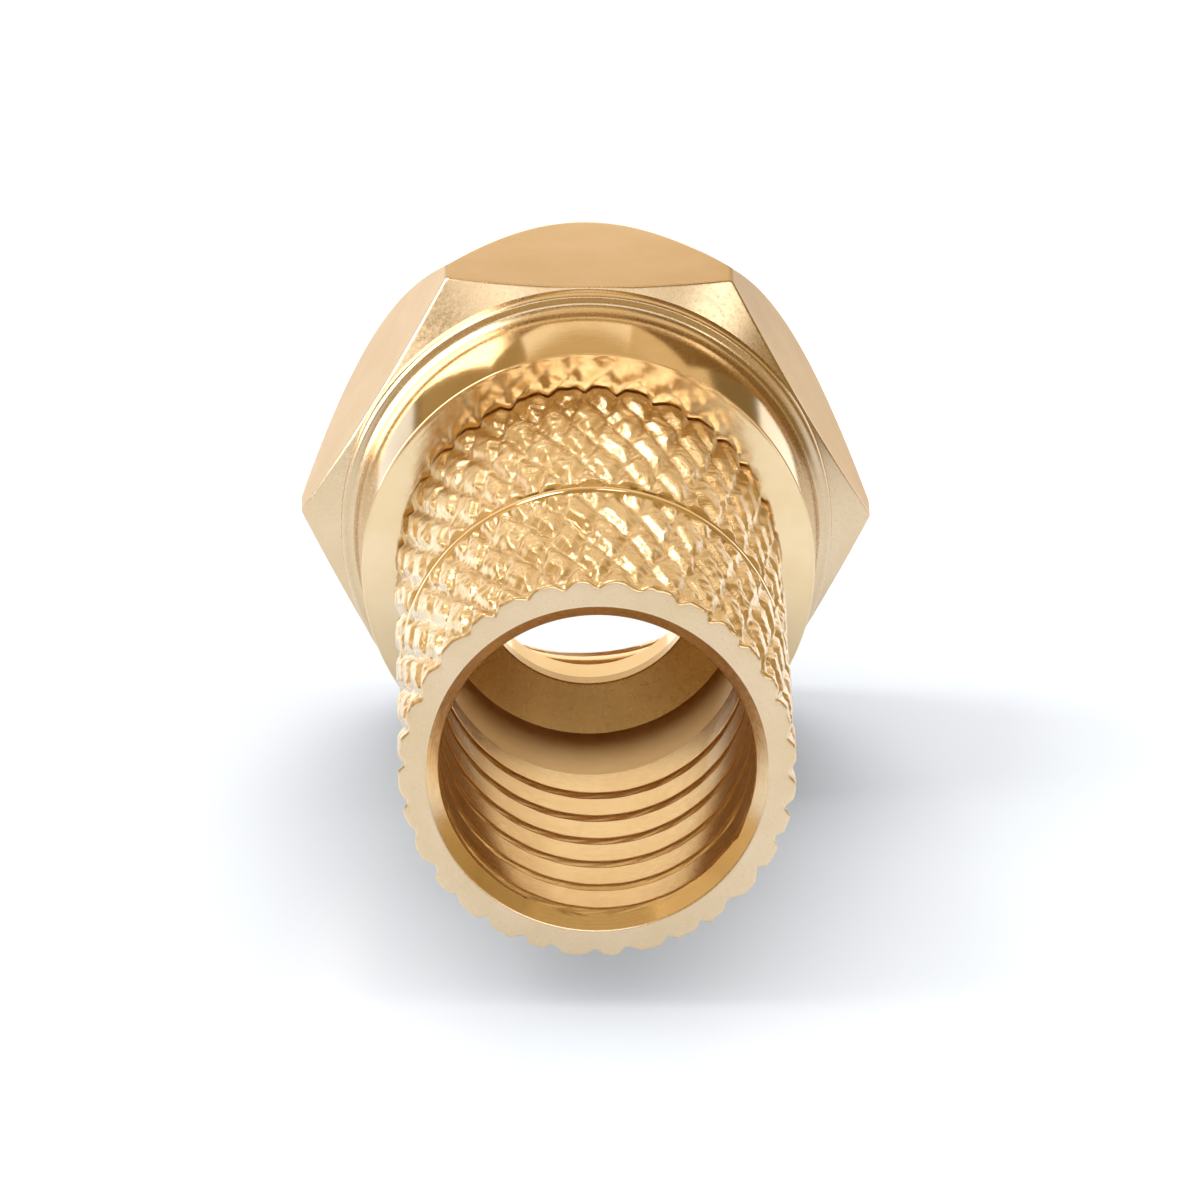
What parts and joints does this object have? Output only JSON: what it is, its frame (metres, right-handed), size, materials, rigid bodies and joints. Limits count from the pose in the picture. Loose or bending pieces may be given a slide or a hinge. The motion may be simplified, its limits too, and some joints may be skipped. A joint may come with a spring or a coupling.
{
  "type": "coaxial plug",
  "caption": "Gold-plated twist-on coaxial cable plug: a diamond-knurled barrel with a coarse internal thread and a free-turning hexagon coupling nut.",
  "frame": {"origin": "centre of the barrel's cable mouth, on the plug's axis", "axes": "+Y along the plug's axis from the cable mouth to the coupling nut, +Z square to an upper flat of the nut"},
  "size_m": [0.0128, 0.0213, 0.011],
  "materials": {
    "gold_plate": "polished gold plating over brass"
  },
  "bodies": {
    "plug_body": {"knurled_barrel": "gold_plate", "flanged_bush": "gold_plate"},
    "nut": {"coupling_nut": "gold_plate"}
  },
  "joints": [
    {"name": "nut_spin", "type": "hinge", "parent": "plug_body", "child": "nut", "pos_m": [0, 0.0175, 0], "axis": [0, 1, 0], "continuous": true}
  ]
}
